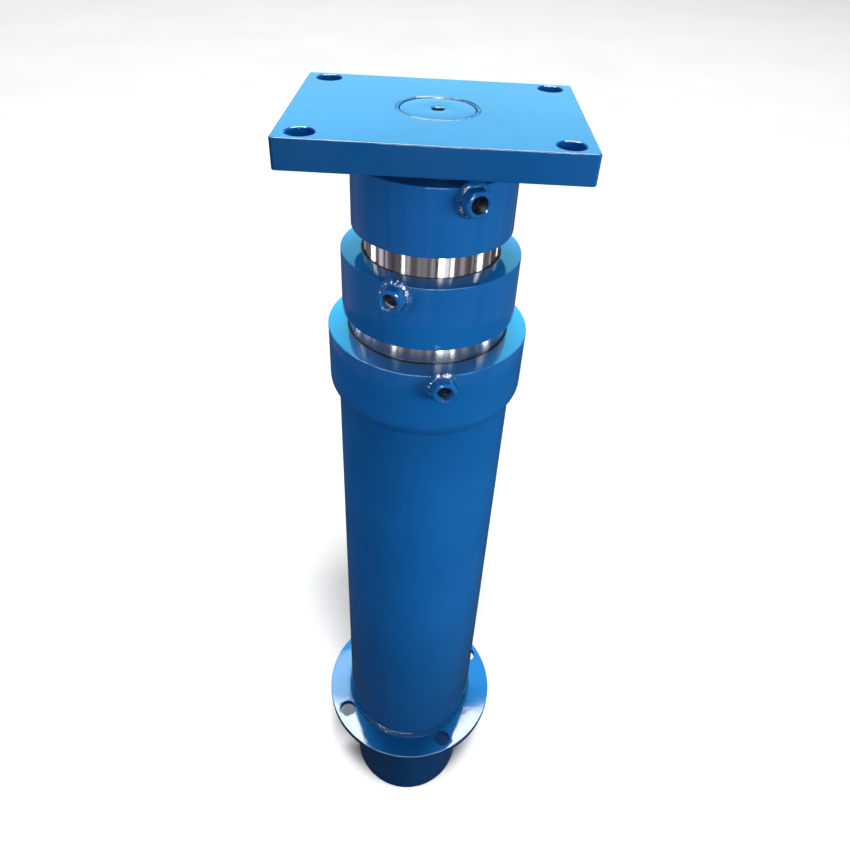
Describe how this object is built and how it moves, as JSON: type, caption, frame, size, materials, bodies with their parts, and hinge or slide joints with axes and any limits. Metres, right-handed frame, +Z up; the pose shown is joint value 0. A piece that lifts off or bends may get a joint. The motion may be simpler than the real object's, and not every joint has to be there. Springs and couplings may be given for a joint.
{
  "type": "telescopic hydraulic cylinder",
  "caption": "Upright telescopic hydraulic cylinder: flanged barrel, nested chromed stages with collar heads and hexagonal ports, and a plunger carrying a drilled rectangular top plate.",
  "frame": {"origin": "centre of the base cap's flat lower face, on the cylinder's axis", "axes": "+Z up along the cylinder's axis towards the top plate, +X along the plate's long side, -Y towards the ports"},
  "size_m": [0.256, 0.256, 1.09],
  "materials": {
    "blue_enamel": "gloss enamel, sprayed over weld beads",
    "ground_chrome": "ground and hard chromed",
    "machined_steel": "turned",
    "bearing_bronze": "turned bronze",
    "seal_rubber": "moulded, matt",
    "guide_resin": "fabric-filled resin strip"
  },
  "bodies": {
    "barrel": {"barrel_tube": "blue_enamel", "barrel_head": "blue_enamel", "barrel_port": "blue_enamel", "barrel_port_weld": "blue_enamel", "barrel_wiper": "seal_rubber", "barrel_rod_seal": "seal_rubber", "barrel_guide_bush": "bearing_bronze", "barrel_stop_ring": "machined_steel", "mounting_flange": "blue_enamel", "flange_weld": "blue_enamel", "foot_tube": "blue_enamel", "foot_weld": "blue_enamel", "base_cap": "blue_enamel", "base_cap_weld": "blue_enamel"},
    "stage_1_guides": {"stage_1_upper_guide": "guide_resin", "stage_1_lower_guide": "guide_resin"},
    "stage_1": {"stage_1_tube": "ground_chrome", "stage_1_head": "blue_enamel", "stage_1_port": "blue_enamel", "stage_1_port_weld": "blue_enamel", "stage_1_wiper": "seal_rubber", "stage_1_rod_seal": "seal_rubber", "stage_1_guide_bush": "bearing_bronze", "stage_1_stop_ring": "machined_steel", "stage_1_piston": "machined_steel", "stage_1_piston_seal": "seal_rubber", "stage_1_foot_ring": "machined_steel"},
    "stage_2_guides": {"stage_2_upper_guide": "guide_resin", "stage_2_lower_guide": "guide_resin"},
    "stage_2": {"stage_2_tube": "ground_chrome", "stage_2_head": "blue_enamel", "stage_2_port": "blue_enamel", "stage_2_port_weld": "blue_enamel", "stage_2_wiper": "seal_rubber", "stage_2_rod_seal": "seal_rubber", "stage_2_guide_bush": "bearing_bronze", "stage_2_stop_ring": "machined_steel", "stage_2_piston": "machined_steel", "stage_2_piston_seal": "seal_rubber", "stage_2_foot_ring": "machined_steel"},
    "plunger_guides": {"plunger_upper_guide": "guide_resin", "plunger_lower_guide": "guide_resin"},
    "plunger": {"plunger": "ground_chrome", "plunger_piston": "machined_steel", "plunger_piston_seal": "seal_rubber", "top_plate": "blue_enamel", "plate_groove_weld": "blue_enamel", "plate_fillet_weld": "blue_enamel"}
  },
  "joints": [
    {"name": "stage_1_slide", "type": "slide", "parent": "barrel", "child": "stage_1_guides", "axis": [0, 0, 1], "range_m": [0, 0.507]},
    {"name": "stage_1_swivel", "type": "hinge", "parent": "stage_1_guides", "child": "stage_1", "pos_m": [0, 0, 0.6], "axis": [0, 0, 1], "continuous": true},
    {"name": "stage_2_slide", "type": "slide", "parent": "stage_1", "child": "stage_2_guides", "axis": [0, 0, 1], "range_m": [0, 0.575]},
    {"name": "stage_2_swivel", "type": "hinge", "parent": "stage_2_guides", "child": "stage_2", "pos_m": [0, 0, 0.6], "axis": [0, 0, 1], "continuous": true},
    {"name": "plunger_slide", "type": "slide", "parent": "stage_2", "child": "plunger_guides", "axis": [0, 0, 1], "range_m": [0, 0.646]},
    {"name": "plunger_swivel", "type": "hinge", "parent": "plunger_guides", "child": "plunger", "pos_m": [0, 0, 0.6], "axis": [0, 0, 1], "continuous": true}
  ]
}
